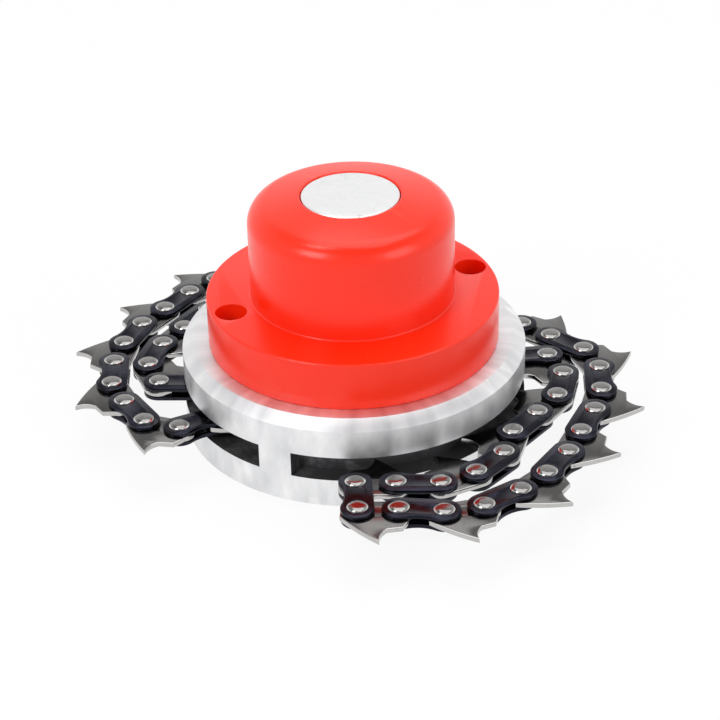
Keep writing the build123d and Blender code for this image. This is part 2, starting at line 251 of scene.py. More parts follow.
def groupLatheMarksAndReflections():
    # Lathe marks round the Z axis: fine rings on faces, and painted reflections as slow bands that run up
    # walls
    group, start, end = newGroup(
        "latheMarksAndReflections",
        [("Vector", "NodeSocketVector", None), ("Ring Scale", "NodeSocketFloat", 4000.0),
         ("Streak Scale", "NodeSocketFloat", 9.0)],
        [("Rings", "NodeSocketFloat"), ("Streaks", "NodeSocketFloat")],
    )
    link = group.links.new
    split = addNode(group, "SeparateXYZ")
    link(start.outputs["Vector"], split.inputs[0])
    x, y, z = split.outputs
    squares = maths(group, "ADD", maths(group, "MULTIPLY", x, x), maths(group, "MULTIPLY", y, y))
    radius = maths(group, "SQRT", squares)
    along = maths(group, "ADD", radius, z)
    rings = addNode(group, "TexNoise", noise_dimensions="1D")
    rings.inputs["Detail"].default_value = 3.0
    link(along, rings.inputs["W"])
    link(start.outputs["Ring Scale"], rings.inputs["Scale"])
    # A point on the unit circle stands for the angle, so that the painted reflection bands have no seam
    onCircle = addNode(group, "CombineXYZ")
    link(maths(group, "DIVIDE", x, radius), onCircle.inputs[0])
    link(maths(group, "DIVIDE", y, radius), onCircle.inputs[1])
    link(maths(group, "MULTIPLY", z, 12.0), onCircle.inputs[2])
    reflectionBands = addNode(group, "TexNoise")
    reflectionBands.inputs["Detail"].default_value = 4.0
    link(onCircle.outputs[0], reflectionBands.inputs["Vector"])
    link(start.outputs["Streak Scale"], reflectionBands.inputs["Scale"])
    link(rings.outputs[0], end.inputs["Rings"])
    link(reflectionBands.outputs[0], end.inputs["Streaks"])
    return group


def groupEdgeWear():
    # Bright where a corner stands out and the finish has rubbed through
    group, start, end = newGroup(
        "edgeWear",
        [("Vector", "NodeSocketVector", None), ("Threshold", "NodeSocketFloat", 0.53),
         ("Softness", "NodeSocketFloat", 12.0)],
        [("Mask", "NodeSocketFloat")],
    )
    link = group.links.new
    shape = addNode(group, "NewGeometry")
    noise = addNode(group, "TexNoise")
    noise.inputs["Scale"].default_value = 700.0
    link(start.outputs["Vector"], noise.inputs["Vector"])
    corner = maths(group, "SUBTRACT", shape.outputs["Pointiness"], start.outputs["Threshold"])
    corner = maths(group, "MULTIPLY", corner, start.outputs["Softness"], clamp=True)
    worn = maths(group, "MULTIPLY", corner, maths(group, "MULTIPLY", noise.outputs[0], 1.6), clamp=True)
    link(worn, end.inputs["Mask"])
    return group


def groupGrain():
    # Brushed lines that run along the first coordinate
    group, start, end = newGroup(
        "brushedGrain",
        [("Vector", "NodeSocketVector", None), ("Scale", "NodeSocketFloat", 900.0),
         ("Stretch", "NodeSocketFloat", 0.06)],
        [("Lines", "NodeSocketFloat")],
    )
    link = group.links.new
    pull = addNode(group, "CombineXYZ")
    pull.inputs[1].default_value = 1.0
    pull.inputs[2].default_value = 1.0
    link(start.outputs["Stretch"], pull.inputs[0])
    stretched = addNode(group, "VectorMath", operation="MULTIPLY")
    link(start.outputs["Vector"], stretched.inputs[0])
    link(pull.outputs[0], stretched.inputs[1])
    noise = addNode(group, "TexNoise")
    noise.inputs["Detail"].default_value = 4.0
    noise.inputs["Roughness"].default_value = 0.65
    link(stretched.outputs[0], noise.inputs["Vector"])
    link(start.outputs["Scale"], noise.inputs["Scale"])
    link(noise.outputs[0], end.inputs["Lines"])
    return group


scuffs = groupScuffs()
latheMarksAndReflections = groupLatheMarksAndReflections()
edgeWear = groupEdgeWear()
brushedGrain = groupGrain()
print("node groups built")

# Materials


def newMaterial(name, **plain):
    # A Principled material with its plain numbers on the shader's own sockets
    material = bpy.data.materials.new(name)
    material.use_nodes = True
    tree = material.node_tree
    shader = tree.nodes["Principled BSDF"]
    for socket, value in plain.items():
        label = socket.replace("_", " ")
        shader.inputs[label].default_value = value + (1,) if isinstance(value, tuple) else value
    place = addNode(tree, "TexCoord")
    return material, tree, shader, place.outputs["Object"]


def useGroup(tree, group, vector, **values):
    node = addNode(tree, "Group", node_tree=group)
    tree.links.new(vector, node.inputs["Vector"])
    for label, value in values.items():
        node.inputs[label.replace("_", " ")].default_value = value
    return node


def mixColours(tree, mask, first, second):
    # first where the mask is 0, second where it is 1; each is a colour or an output
    node = addNode(tree, "Mix", data_type="RGBA")
    tree.links.new(mask, node.inputs[0])
    colours = [s for s in node.inputs if s.type == "RGBA"]
    for socket, value in zip(colours, (first, second)):
        if isinstance(value, tuple):
            socket.default_value = value + (1,)
        else:
            tree.links.new(value, socket)
    return [s for s in node.outputs if s.type == "RGBA"][0]


def spread(tree, value, low, high):
    # Maps 0 to 1 onto low to high
    return maths(tree, "ADD", maths(tree, "MULTIPLY", value, high - low), low)


def addBump(tree, shader, height, distance, strength=1.0):
    bump = addNode(tree, "Bump")
    bump.inputs["Strength"].default_value = strength
    bump.inputs["Distance"].default_value = distance
    tree.links.new(height, bump.inputs["Height"])
    tree.links.new(bump.outputs[0], shader.inputs["Normal"])
    return bump


redShades = {"deep": (0.97, 0.018, 0.002), "bright": (1.0, 0.030, 0.004), "rubbed": (1.0, 0.16, 0.08)}


def paintRedPlastic():
    material, tree, shader, place = newMaterial(
        "redPlastic", Base_Color=(1.0, 0.024, 0.003), Roughness=0.26, IOR=1.45,
    )
    link = tree.links.new
    flow = addNode(tree, "TexNoise")
    flow.inputs["Scale"].default_value = 35.0
    flow.inputs["Detail"].default_value = 3.0
    link(place, flow.inputs["Vector"])
    peel = addNode(tree, "TexNoise")
    peel.inputs["Scale"].default_value = 900.0
    peel.inputs["Detail"].default_value = 2.0
    link(place, peel.inputs["Vector"])
    wear = useGroup(tree, edgeWear, place, Threshold=0.56, Softness=5.0)
    rubbed = useGroup(tree, scuffs, place, Scale=160.0, Coverage=0.36)
    colour = mixColours(tree, flow.outputs[0], redShades["deep"], redShades["bright"])
    pale = mixColours(tree, maths(tree, "MULTIPLY", wear.outputs[0], 0.35), colour, redShades["rubbed"])
    link(pale, shader.inputs["Base Color"])
    rough = spread(tree, flow.outputs[0], 0.20, 0.30)
    worn = maths(tree, "MULTIPLY", rubbed.outputs[0], 0.10)
    link(maths(tree, "ADD", rough, worn), shader.inputs["Roughness"])
    addBump(tree, shader, peel.outputs[0], 0.000012, 0.6)
    return material


aluminiumShades = {
    "darkReflectionBand": (0.60, 0.605, 0.62),
    "brightReflectionBand": (0.99, 0.99, 0.995),
    "nicked": (0.66, 0.66, 0.67),
    "edge": (0.97, 0.97, 0.97),
}


def paintAluminium():
    material, tree, shader, place = newMaterial(
        "turnedAluminium", Base_Color=(0.90, 0.90, 0.91), Roughness=0.24, Metallic=1.0,
    )
    link = tree.links.new
    marks = useGroup(tree, latheMarksAndReflections, place, Ring_Scale=5200.0, Streak_Scale=9.0)
    nicks = useGroup(tree, scuffs, place, Scale=420.0, Coverage=0.33)
    wear = useGroup(tree, edgeWear, place, Threshold=0.54, Softness=9.0)
    # Painted reflection: dark and bright bands round the axis, which also vary the roughness
    reflectionBands = maths(tree, "SUBTRACT", marks.outputs["Streaks"], 0.12)
    reflectionBands = maths(tree, "MULTIPLY", reflectionBands, 1.35, clamp=True)
    colour = mixColours(tree, reflectionBands, aluminiumShades["darkReflectionBand"], aluminiumShades["brightReflectionBand"])
    dull = mixColours(tree, maths(tree, "MULTIPLY", nicks.outputs[0], 0.35), colour, aluminiumShades["nicked"])
    bright = mixColours(tree, wear.outputs[0], dull, aluminiumShades["edge"])
    link(bright, shader.inputs["Base Color"])
    rough = spread(tree, marks.outputs["Streaks"], 0.34, 0.56)
    dents = maths(tree, "MULTIPLY", nicks.outputs[0], 0.08)
    link(maths(tree, "ADD", rough, dents), shader.inputs["Roughness"])
    height = maths(tree, "SUBTRACT", marks.outputs["Rings"], maths(tree, "MULTIPLY", nicks.outputs[0], 0.5))
    addBump(tree, shader, height, 0.00001, 0.5)
    return material


roomShades = {"dry": (0.09, 0.09, 0.095), "oily": (0.20, 0.20, 0.205)}


def paintRoomWithPaintedShade():
    # Painted shade: a dark finish on the walls of the chain room, in patches of deeper and lighter shade,
    # stands in for the shade inside the groove and pockets
    material, tree, shader, place = newMaterial(
        "paintedShadeRoom", Base_Color=(0.12, 0.12, 0.125), Roughness=0.45, Metallic=0.6,
    )
    link = tree.links.new
    oilAndShadePatches = useGroup(tree, scuffs, place, Scale=180.0, Coverage=0.5)
    colour = mixColours(tree, oilAndShadePatches.outputs[0], roomShades["dry"], roomShades["oily"])
    link(colour, shader.inputs["Base Color"])
    link(spread(tree, oilAndShadePatches.outputs[0], 0.35, 0.55), shader.inputs["Roughness"])
    addBump(tree, shader, oilAndShadePatches.outputs[0], 0.00002, 0.4)
    return material


hubShades = {"clean": (0.93, 0.93, 0.93), "blotch": (0.80, 0.81, 0.81), "scratch": (0.72, 0.73, 0.73)}


def paintHubFace():
    material, tree, shader, place = newMaterial(
        "facedHub", Base_Color=(0.86, 0.86, 0.86), Roughness=0.42, Metallic=1.0,
    )
    link = tree.links.new
    blotches = useGroup(tree, scuffs, place, Scale=260.0, Coverage=0.50)
    marks = useGroup(tree, latheMarksAndReflections, place, Ring_Scale=3800.0, Streak_Scale=4.0)
    scratches = useGroup(tree, brushedGrain, place, Scale=700.0, Stretch=0.12)
    colour = mixColours(tree, blotches.outputs[0], hubShades["clean"], hubShades["blotch"])
    lined = mixColours(tree, maths(tree, "MULTIPLY", scratches.outputs[0], 0.35), colour, hubShades["scratch"])
    link(lined, shader.inputs["Base Color"])
    link(spread(tree, blotches.outputs[0], 0.34, 0.52), shader.inputs["Roughness"])
    height = maths(tree, "ADD", marks.outputs["Rings"], maths(tree, "MULTIPLY", blotches.outputs[0], -0.8))
    addBump(tree, shader, height, 0.00002, 0.5)
    return material


strapShades = {"black": (0.017, 0.017, 0.025), "blued": (0.034, 0.036, 0.055), "rubbed": (0.12, 0.12, 0.13)}


def paintStraps():
    material, tree, shader, place = newMaterial(
        "bluedStrap", Base_Color=(0.035, 0.038, 0.055), Roughness=0.3, Metallic=1.0,
    )
    link = tree.links.new
    oilAndShadePatches = useGroup(tree, scuffs, place, Scale=150.0, Coverage=0.52)
    wear = useGroup(tree, edgeWear, place, Threshold=0.53, Softness=14.0)
    stamp = addNode(tree, "TexNoise")
    stamp.inputs["Scale"].default_value = 1500.0
    stamp.inputs["Detail"].default_value = 3.0
    link(place, stamp.inputs["Vector"])
    colour = mixColours(tree, oilAndShadePatches.outputs[0], strapShades["black"], strapShades["blued"])
    rubbed = mixColours(tree, maths(tree, "MULTIPLY", wear.outputs[0], 0.5), colour, strapShades["rubbed"])
    link(rubbed, shader.inputs["Base Color"])
    link(spread(tree, oilAndShadePatches.outputs[0], 0.22, 0.36), shader.inputs["Roughness"])
    addBump(tree, shader, stamp.outputs[0], 0.00003, 0.35)
    return material


rivetShades = {
    "steel": (0.28, 0.272, 0.265),
    "shadedTopStained": (0.16, 0.156, 0.152),
    "rim": (0.68, 0.67, 0.65),
    "topSlope": 0.78,  # the head gets its painted shade where its normal's height is above this
    "topBlend": 7.0,
}


def paintRivets():
    # Painted shade and highlight: by the height of the normal, the heads are painted dark on top and bright at
    # the rim
    material, tree, shader, place = newMaterial(
        "polishedRivet", Base_Color=(0.42, 0.41, 0.40), Roughness=0.2, Metallic=1.0,
    )
    link = tree.links.new
    rubs = useGroup(tree, scuffs, place, Scale=900.0, Coverage=0.46)
    shape = addNode(tree, "NewGeometry")
    facing = addNode(tree, "SeparateXYZ")
    link(shape.outputs["Normal"], facing.inputs[0])
    shadedTopMask = maths(tree, "SUBTRACT", maths(tree, "ABSOLUTE", facing.outputs[2]), rivetShades["topSlope"])
    shadedTopMask = maths(tree, "MULTIPLY", shadedTopMask, rivetShades["topBlend"], clamp=True)
    dark = mixColours(tree, rubs.outputs[0], rivetShades["steel"], rivetShades["shadedTopStained"])
    # Painted highlight on the rim and painted shade on the top, with real stains varying the dark top
    link(mixColours(tree, shadedTopMask, rivetShades["rim"], dark), shader.inputs["Base Color"])
    link(spread(tree, rubs.outputs[0], 0.14, 0.28), shader.inputs["Roughness"])
    addBump(tree, shader, rubs.outputs[0], 0.000012, 0.6)
    return material


cutterShades = {"dark": (0.085, 0.082, 0.080), "bright": (0.185, 0.181, 0.177), "stain": (0.06, 0.057, 0.055)}


def paintCutters():
    # Reads the piece's flat UV map, so that the grain runs along each link
    material, tree, shader, place = newMaterial(
        "brushedCutter", Base_Color=(0.40, 0.395, 0.38), Roughness=0.28, Metallic=1.0,
    )
    link = tree.links.new
    flat = addNode(tree, "UVMap")
    grain = useGroup(tree, brushedGrain, flat.outputs[0], Scale=55.0, Stretch=0.10)
    stains = useGroup(tree, scuffs, place, Scale=230.0, Coverage=0.45)
    colour = mixColours(tree, grain.outputs[0], cutterShades["dark"], cutterShades["bright"])
    shadedTopStained = mixColours(tree, maths(tree, "MULTIPLY", stains.outputs[0], 0.4), colour, cutterShades["stain"])
    link(shadedTopStained, shader.inputs["Base Color"])
    link(spread(tree, grain.outputs[0], 0.12, 0.26), shader.inputs["Roughness"])
    addBump(tree, shader, grain.outputs[0], 0.000008, 0.3)
    return material


groundShades = {"ground": (0.52, 0.51, 0.50), "burr": (0.34, 0.33, 0.32)}


def paintGroundEdge():
    material, tree, shader, place = newMaterial(
        "groundEdge", Base_Color=(0.60, 0.59, 0.58), Roughness=0.22, Metallic=1.0,
    )
    link = tree.links.new
    burr = useGroup(tree, scuffs, place, Scale=800.0, Coverage=0.42)
    colour = mixColours(tree, burr.outputs[0], groundShades["ground"], groundShades["burr"])
    link(colour, shader.inputs["Base Color"])
    link(spread(tree, burr.outputs[0], 0.18, 0.34), shader.inputs["Roughness"])
    addBump(tree, shader, burr.outputs[0], 0.00001, 0.5)
    return material


screwShades = {"clean": (0.34, 0.34, 0.35), "grimy": (0.20, 0.20, 0.21), "worn": (0.60, 0.60, 0.60)}


def paintScrewSteel():
    material, tree, shader, place = newMaterial(
        "screwSteel", Base_Color=(0.30, 0.30, 0.31), Roughness=0.3, Metallic=1.0,
    )
    link = tree.links.new
    grime = useGroup(tree, scuffs, place, Scale=600.0, Coverage=0.5)
    wear = useGroup(tree, edgeWear, place, Threshold=0.53, Softness=12.0)
    colour = mixColours(tree, grime.outputs[0], screwShades["clean"], screwShades["grimy"])
    link(mixColours(tree, wear.outputs[0], colour, screwShades["worn"]), shader.inputs["Base Color"])
    link(spread(tree, grime.outputs[0], 0.24, 0.42), shader.inputs["Roughness"])
    addBump(tree, shader, grime.outputs[0], 0.00001, 0.5)
    return material


paint = {
    "redCap": paintRedPlastic(),
    "aluminium": paintAluminium(),
    "room": paintRoomWithPaintedShade(),
    "hub": paintHubFace(),
    "strap": paintStraps(),
    "rivet": paintRivets(),
    "cutter": paintCutters(),
    "edge": paintGroundEdge(),
    "screw": paintScrewSteel(),
}
print("materials mixed:", len(paint))

# Bench tools: how every piece is started, cut and finished


def onlySelect(*pieces):
    bpy.ops.object.select_all(action="DESELECT")
    for piece in pieces:
        piece.select_set(True)
    bpy.context.view_layer.objects.active = pieces[-1]


def arc(middle, radius, first, last, steps):
    # Points (radius, height) of a turned arc, its angles in degrees
    turns = [radians(first + (last - first) * i / steps) for i in range(steps + 1)]
    return [(middle[0] + radius * cos(t), middle[1] + radius * sin(t)) for t in turns]


def turnPart(name, rings, sides, hollow=False):
    # Drawn as one circle, then extruded and scaled from ring to ring. A hollow part's rings
    # come back to the first one; a solid part starts and ends with a face.
    radius, height = rings[0]
    bpy.ops.object.select_all(action="DESELECT")
    bpy.ops.mesh.primitive_circle_add(
        vertices=sides, radius=radius, fill_type="NOTHING" if hollow else "NGON", location=(0, 0, height),
    )
    piece = bpy.context.object
    piece.name = name
    bpy.ops.object.transform_apply(location=True)
    bpy.ops.object.mode_set(mode="EDIT")
    for nextRadius, nextHeight in rings[1:] + (rings[:1] if hollow else []):
        rise = {"value": (0, 0, nextHeight - height)}
        if hollow:
            bpy.ops.mesh.extrude_edges_move(TRANSFORM_OT_translate=rise)
        else:
            bpy.ops.mesh.extrude_region_move(TRANSFORM_OT_translate=rise)
        grow = nextRadius / radius
        bpy.ops.transform.resize(value=(grow, grow, 1), center_override=(0, 0, nextHeight))
        radius, height = nextRadius, nextHeight
    bpy.ops.mesh.select_all(action="SELECT")
    bpy.ops.mesh.remove_doubles(threshold=0.000001)
    bpy.ops.mesh.normals_make_consistent(inside=False)
    bpy.ops.object.mode_set(mode="OBJECT")
    return piece


def addBlock(name, low, high):
    # A box between two corners, for cutting
    size = [b - a for a, b in zip(low, high)]
    middle = [(a + b) / 2 for a, b in zip(low, high)]
    bpy.ops.object.select_all(action="DESELECT")
    bpy.ops.mesh.primitive_cube_add(size=1, location=middle, scale=size)
    piece = bpy.context.object
    piece.name = name
    bpy.ops.object.transform_apply(location=True, scale=True)
    return piece


def turnAbout(piece, angle):
    # Turns a piece about the Z axis, angle in radians
    onlySelect(piece)
    piece.rotation_euler = (0, 0, angle)
    bpy.ops.object.transform_apply(rotation=True)
    return piece


def joinWith(piece, *others):
    onlySelect(*others, piece)
    bpy.ops.object.join()
    return piece


def boolean(piece, tool, operation="DIFFERENCE"):
    # Applies one boolean and throws the tool away
    onlySelect(piece)
    cut = piece.modifiers.new("cut", "BOOLEAN")
    cut.operation = operation
    cut.solver = "EXACT"
    cut.use_self = False
    cut.object = tool
    bpy.ops.object.modifier_apply(modifier=cut.name)
    bpy.data.objects.remove(tool)
    return piece


def softenEdges(piece, width, segments=2, angle=30.0):
    onlySelect(piece)
    soft = piece.modifiers.new("soft", "BEVEL")
    soft.width = width
    soft.segments = segments
    soft.limit_method = "ANGLE"
    soft.angle_limit = radians(angle)
    soft.harden_normals = False
    bpy.ops.object.modifier_apply(modifier=soft.name)
    return piece


def smoothShade(piece, angle=25.0):
    onlySelect(piece)
    bpy.ops.object.shade_smooth_by_angle(angle=radians(angle))
    return piece


def finishPiece(piece, body, slot, nodes, *materials):
    # Gives the piece its materials, and ties it to its body and to the CAD nodes it stands for
    for material in materials:
        piece.data.materials.append(material)
    piece.data.name = piece.name
    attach(piece, body)
    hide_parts(*nodes)
    return piece

# Where the screws stand, read from the frame

screwHead = {"cap": 3.5 * mm, "disc": 4.25 * mm}
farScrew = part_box("cap_screws")[1].xy - Vector((screwHead["cap"], screwHead["cap"]))
exitAngle = atan2(farScrew.y, farScrew.x)
exitWay = Vector((cos(exitAngle), sin(exitAngle)))

# Guide cap

cap = {
    "sides": 192,
    "flangeHeight": 11.6 * mm,
    "flangeEdge": 0.4 * mm,
    "skirt": 0.25 * mm,
    "domeRadius": 24.1 * mm,
    "domeFoot": 0.4 * mm,
    "shoulder": 5.2 * mm,
    "crownWidth": 12.0 * mm,
    "crownDrop": 2.3 * mm,
    "wall": 4.6 * mm,
    "roof": 4.2 * mm,
    "boreRadius": 11.7 * mm,
    "boreEdge": 0.25 * mm,
    "holeRadius": 3.75 * mm,
    "shankHole": 2.05 * mm,
    "holeEdge": 0.3 * mm,
}


def makeCap():
    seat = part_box("cap_screws")[1].z - screwSizes["cap"]["headHeight"]
    flangeTop = discTop + cap["flangeHeight"]
    edge, skirt, foot = cap["flangeEdge"], cap["skirt"], cap["domeFoot"]
    dome, shoulder, lip = cap["domeRadius"], cap["shoulder"], cap["boreEdge"]
    cavity = dome - cap["wall"]
    rings = [(cavity, discTop), (capRadius - skirt, discTop), (capRadius, discTop + skirt)]
    rings += arc((capRadius - edge, flangeTop - edge), edge, 0, 90, 6)
    rings += arc((dome + foot, flangeTop + foot), foot, 270, 180, 5)
    # The crown is a low cone, and the shoulder is the arc between it and the wall
    slope = atan2(cap["crownDrop"], cap["crownWidth"])
    crownStart = dome - cap["crownWidth"]
    shoulderZ = capTop - (dome - shoulder - crownStart) * tan(slope) - shoulder / cos(slope)
    rings += arc((dome - shoulder, shoulderZ), shoulder, 0, 90 - degrees(slope), 20)
    rings += arc((crownStart, capTop - 2 * mm), 2 * mm, 90 - degrees(slope), 90, 3)[1:]
    rings += arc((cap["boreRadius"] + lip, capTop - lip), lip, 90, 180, 4)
    rings += [(cap["boreRadius"], capTop - cap["roof"]), (cavity, capTop - cap["roof"])]
    piece = turnPart("guideCap", rings, cap["sides"], hollow=True)
    for angle in (exitAngle, exitAngle + pi):
        spot = Vector((cos(angle), sin(angle))) * farScrew.length
        for radius, bottom in ((cap["holeRadius"], seat), (cap["shankHole"], discTop - mm)):
            bpy.ops.object.select_all(action="DESELECT")
            bpy.ops.mesh.primitive_cylinder_add(
                vertices=64, radius=radius, depth=capTop - bottom,
                location=(spot.x, spot.y, (capTop + bottom) / 2),
            )
            boolean(piece, bpy.context.object)
    mergeFlats(piece)
    softenEdges(piece, cap["holeEdge"], segments=3, angle=50)
    smoothShade(piece, 30)
    finishPiece(piece, "root", "red_cap", ["guide_cap"], paint["redCap"])


def mergeFlats(piece):
    # Takes out the edges that lie in one flat face, so that later bevels run clean
    onlySelect(piece)
    bpy.ops.object.mode_set(mode="EDIT")
    bpy.ops.mesh.select_all(action="SELECT")
    bpy.ops.mesh.remove_doubles(threshold=0.000005)
    bpy.ops.mesh.dissolve_limited(angle_limit=radians(0.2))
    bpy.ops.object.mode_set(mode="OBJECT")


# Discs

disc = {
    "sides": 192,
    "boreRadius": 13.05 * mm,
    "chamferWidth": 2.85 * mm,
    "chamferHeight": 2.0 * mm,
    "slotDepth": 3.05 * mm,
    "grooveDepth": 5.0 * mm,
    "ribWidth": 8.2 * mm,
    "ribAngle": radians(44.4),
    "pocketStart": 23.01 * mm,
    "pocketHalf": 17.29 * mm,
    "pocketCorner": 4.0 * mm,
    "hubRecess": (17.05 * mm, 4.0 * mm),
    "screwDistance": 28.0 * mm,
    "screwSpread": radians(22.0),
    "counterbore": (4.5 * mm, 5.25 * mm),
    "shankHole": 2.55 * mm,
    "edge": 0.14 * mm,
    "paintedShadeInset": 0.8 * mm,  # how far in from the rim the room's painted shade starts
}


def discBlank(name, faceZ, parting):
    # The turned blank, from the parting face to the chamfered face
    toFace = 1 if faceZ > parting else -1
    rings = [
        (disc["boreRadius"], parting),
        (discRadius, parting),
        (discRadius, faceZ - toFace * disc["chamferHeight"]),
        (discRadius - disc["chamferWidth"], faceZ),
        (disc["boreRadius"], faceZ),
    ]
    return turnPart(name, rings, disc["sides"], hollow=True)


def cutChainRoom(piece, parting, toFace):
    # The groove behind the rim, left standing at two ribs, and a pocket at each exit
    low, high = sorted((parting - toFace * mm, parting + toFace * disc["slotDepth"]))
    inner, outer = discRadius - disc["grooveDepth"], discRadius + mm
    section = [(inner, low), (outer, low), (outer, high), (inner, high)]
    groove = turnPart("groove", section, disc["sides"], hollow=True)
    half = disc["ribWidth"] / 2
    for side in (0, pi):
        rib = addBlock("rib", (0, -half, low - mm), (outer + mm, half, high + mm))
        boolean(groove, turnAbout(rib, exitAngle + disc["ribAngle"] + side))
    boolean(piece, groove)
    for side in (0, pi):
        pocket = addBlock(
            "pocket", (disc["pocketStart"], -disc["pocketHalf"], low), (outer, disc["pocketHalf"], high),
        )
        roundCorners(pocket, disc["pocketStart"], disc["pocketCorner"])
        boolean(piece, turnAbout(pocket, exitAngle + side))


def roundCorners(piece, wallX, radius):
    # Bevels the upright edges that stand at wallX
    onlySelect(piece)
    bpy.ops.object.mode_set(mode="EDIT")
    bpy.ops.mesh.select_all(action="DESELECT")
    bpy.ops.mesh.select_mode(type="EDGE")
    bpy.ops.object.mode_set(mode="OBJECT")
    points = piece.data.vertices
    for edge in piece.data.edges:
        a, b = (points[i].co for i in edge.vertices)
        edge.select = abs(a.x - wallX) < 1e-6 and (a.xy - b.xy).length < 1e-6
    bpy.ops.object.mode_set(mode="EDIT")
    bpy.ops.mesh.bevel(offset=radius, segments=10)
    bpy.ops.object.mode_set(mode="OBJECT")


def drill(piece, spot, radius, low, high):
    bpy.ops.object.select_all(action="DESELECT")
    bpy.ops.mesh.primitive_cylinder_add(
        vertices=64, radius=radius, depth=high - low, location=(spot[0], spot[1], (low + high) / 2),
    )
    boolean(piece, bpy.context.object)


def discScrewSpots():
    angles = [exitAngle + side + spread * disc["screwSpread"]
              for side in (pi / 2, 3 * pi / 2) for spread in (-1, 1)]
    return [Vector((cos(a), sin(a))) * disc["screwDistance"] for a in angles]


def makeDiscs():
    upper = discBlank("upperDisc", discTop, partingZ)
    cutChainRoom(upper, partingZ, 1)
    lower = discBlank("lowerDisc", discBottom, partingZ)
    cutChainRoom(lower, partingZ, -1)
    recess, depth = disc["hubRecess"]
    drill(lower, (0, 0), recess, discBottom - mm, discBottom + depth)
    head, depth = disc["counterbore"]
    for spot in discScrewSpots():
        drill(lower, spot, head, discBottom - mm, discBottom + depth)
        drill(lower, spot, disc["shankHole"], discBottom, partingZ)
    for piece, node in ((upper, "upper_disc"), (lower, "lower_disc")):
        mergeFlats(piece)
        softenEdges(piece, disc["edge"], segments=2, angle=25)
        smoothShade(piece, 20)
        finishPiece(piece, "root", "machined_aluminium", [node], paint["aluminium"], paint["room"])
        # Faces inside the slot and behind the rim get the painted shade material
        for face in piece.data.polygons:
            inSlot = abs(face.center.z - partingZ) < disc["slotDepth"] + 0.1 * mm
            behindRim = face.center.xy.length < discRadius - disc["paintedShadeInset"]
            face.material_index = 1 if inSlot and behindRim else 0


# Hub

hub = {
    "sides": 128,
    "flangeRadius": 17.0 * mm,
    "flangeHeight": 4.0 * mm,
    "bodyRadius": 13.0 * mm,
    "neckRadius": 12.0 * mm,
    "neckHeight": 10.0 * mm,
    "endRadius": 11.5 * mm,
    "endEdge": 0.4 * mm,
    "boreRadius": 6.0 * mm,
    "boreDepth": 20.0 * mm,
    "threadDepth": 1.0 * mm,
    "threadPitch": 2.0 * mm,
    "boreEnd": 0.6 * mm,
    "mouth": 1.1 * mm,
    "edge": 0.3 * mm,
    "nickAngle": radians(-80.0),
    "nickRadius": 0.8 * mm,
}


def makeHub():
    bore, depth, pitch = hub["boreRadius"], hub["boreDepth"], hub["threadPitch"]
    rings = [(bore - hub["boreEnd"], depth), (bore, depth - hub["boreEnd"])]
    # Thread crests and roots, one pair for each pitch on the way down to the mouth
    turns = int((depth - hub["mouth"] - pitch) / pitch)
    for turn in range(turns):
        z = depth - pitch * (turn + 0.8)
        rings += [(bore, z), (bore + hub["threadDepth"], z - 0.45 * pitch),
                  (bore + hub["threadDepth"], z - 0.55 * pitch), (bore, z - 0.95 * pitch)]
    rings += [(bore, hub["mouth"]), (bore + hub["mouth"], 0)]
    edge = hub["edge"]
    rings += [
        (hub["flangeRadius"] - edge, 0), (hub["flangeRadius"], edge),
        (hub["flangeRadius"], hub["flangeHeight"] - edge), (hub["flangeRadius"] - edge, hub["flangeHeight"]),
        (hub["bodyRadius"], hub["flangeHeight"]), (hub["bodyRadius"], discTop),
        (hub["neckRadius"], discTop), (hub["neckRadius"], discTop + hub["neckHeight"]),
        (hub["endRadius"], discTop + hub["neckHeight"]),
    ]
    rings += arc((hub["endRadius"] - hub["endEdge"], capTop - hub["endEdge"]), hub["endEdge"], 0, 90, 4)
    rings += [(hub["endRadius"] * 0.6, capTop), (hub["endRadius"] * 0.2, capTop)]
    piece = turnPart("driveHub", rings, hub["sides"])
    nick = Vector((cos(hub["nickAngle"]), sin(hub["nickAngle"]))) * hub["endRadius"]
    bpy.ops.object.select_all(action="DESELECT")
    bpy.ops.mesh.primitive_uv_sphere_add(
        segments=24, ring_count=12, radius=hub["nickRadius"], location=(nick.x, nick.y, capTop + 0.1 * mm),
    )
    boolean(piece, bpy.context.object)
    smoothShade(piece, 25)
    finishPiece(piece, "root", "hub_metal", ["drive_hub"], paint["hub"])


# Socket screws

screwSizes = {
    "edge": 0.35 * mm,
    "socketEdge": 0.1 * mm,
    "cap": {"radius": 2.0 * mm, "length": 7.0 * mm, "headRadius": screwHead["cap"],
            "headHeight": 4.0 * mm, "socket": 3.0 * mm},
    "disc": {"radius": 2.5 * mm, "length": 14.0 * mm, "headRadius": screwHead["disc"],
             "headHeight": 5.0 * mm, "socket": 4.0 * mm},
}


def makeScrew(name, sizes):
    # Head upwards, its seat at height zero
    shank, head, tall = sizes["radius"], sizes["headRadius"], sizes["headHeight"]
    edge, socket = screwSizes["edge"], sizes["socket"] / sqrt(3)
    rings = [(shank - edge, -sizes["length"]), (shank, edge - sizes["length"]), (shank, 0)]
    rings += [(head - edge / 2, 0), (head, edge / 2), (head, tall - edge)]
    rings += arc((head - edge, tall - edge), edge, 0, 90, 3)[1:]
    rings += [(socket + edge, tall)]
    piece = turnPart(name, rings, 64)
    bpy.ops.object.select_all(action="DESELECT")
    bpy.ops.mesh.primitive_cylinder_add(
        vertices=6, radius=socket, depth=tall, location=(0, 0, tall),
    )
    boolean(piece, bpy.context.object)
    softenEdges(piece, screwSizes["socketEdge"], 2, 50)
    return smoothShade(piece, 30)


